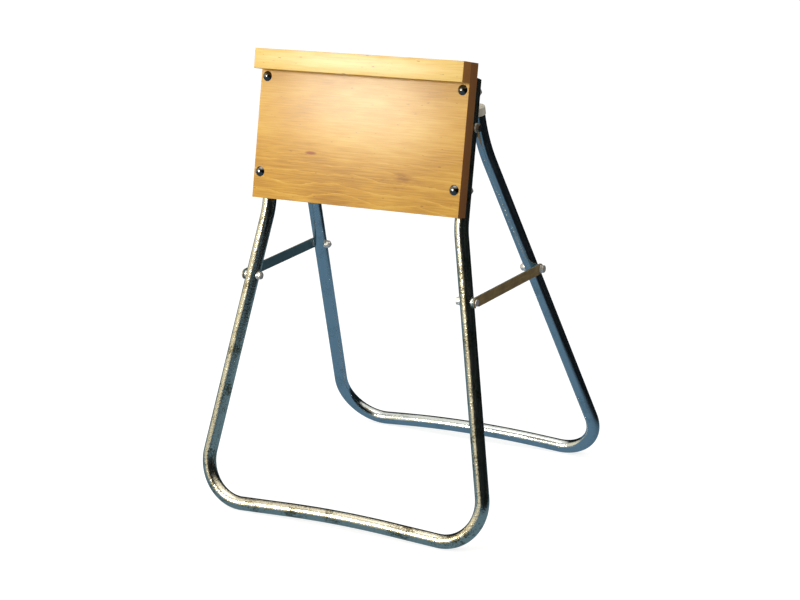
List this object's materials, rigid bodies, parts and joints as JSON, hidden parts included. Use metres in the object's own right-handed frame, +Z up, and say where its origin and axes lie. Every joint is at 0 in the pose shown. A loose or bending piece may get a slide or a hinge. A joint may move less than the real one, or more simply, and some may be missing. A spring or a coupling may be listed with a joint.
{
  "type": "folding sawhorse",
  "caption": "Folding stand of bent steel tube: two hinged frames, a wooden clamp board with a top cleat on the front frame, and hooked flat braces between the legs.",
  "frame": {"origin": "on the floor, at the middle of the footprint", "axes": "+Z up, +X to the right across both frames and along the hinge, -Y to the front, where the board is"},
  "size_m": [0.5936, 0.5469, 0.8371],
  "materials": {
    "plated_tube": "bright zinc or nickel plating, lightly worn",
    "wood": "varnished softwood, honey coloured",
    "polished_bolt": "polished domed heads",
    "fastener": "plated steel",
    "brace_bar": "dull plated flat bar",
    "cap": "pale soft plastic",
    "plug": "black plastic"
  },
  "bodies": {
    "front_frame": {"front_tube": "plated_tube", "front_plug_left": "plug", "front_plug_right": "plug", "clamp_board": "wood", "cleat": "wood", "cleat_screws": "fastener", "board_bolts_upper": "polished_bolt", "board_bolts_lower": "polished_bolt", "board_washers": "fastener", "board_nuts": "fastener", "hinge_bolt_left": "fastener", "hinge_bolt_right": "fastener", "hinge_washers": "fastener", "hinge_nuts": "fastener", "hook_stud_left": "fastener", "hook_stud_right": "fastener", "stud_spacers": "fastener", "stud_saddles": "fastener", "stud_nuts": "fastener"},
    "rear_frame": {"rear_tube": "plated_tube", "rear_cap_left": "cap", "rear_cap_right": "cap", "hinge_lug_left": "brace_bar", "hinge_lug_right": "brace_bar", "brace_bolt_left": "fastener", "brace_bolt_right": "fastener", "brace_washers": "fastener", "brace_saddles": "fastener", "brace_nuts": "fastener"},
    "brace_arm_left": {"brace_left": "brace_bar"},
    "brace_arm_right": {"brace_right": "brace_bar"}
  },
  "joints": [
    {"name": "rear_fold", "type": "hinge", "parent": "front_frame", "child": "rear_frame", "pos_m": [0, -0.09352, 0.71467], "axis": [-1, 0, 0], "range_deg": [0, 38]},
    {"name": "brace_left_swing", "type": "hinge", "parent": "rear_frame", "child": "brace_arm_left", "pos_m": [-0.2425, 0.08345, 0.42235], "axis": [-0.9998, -0.0215, 0], "range_deg": [0, 68.5]},
    {"name": "brace_right_swing", "type": "hinge", "parent": "rear_frame", "child": "brace_arm_right", "pos_m": [0.2425, 0.08345, 0.42235], "axis": [-0.9998, 0.0215, 0], "range_deg": [0, 68.5]}
  ],
  "couplings": [
    {"joint": "brace_left_swing", "follows": "rear_fold", "ratio": 1.8},
    {"joint": "brace_right_swing", "follows": "rear_fold", "ratio": 1.8}
  ]
}
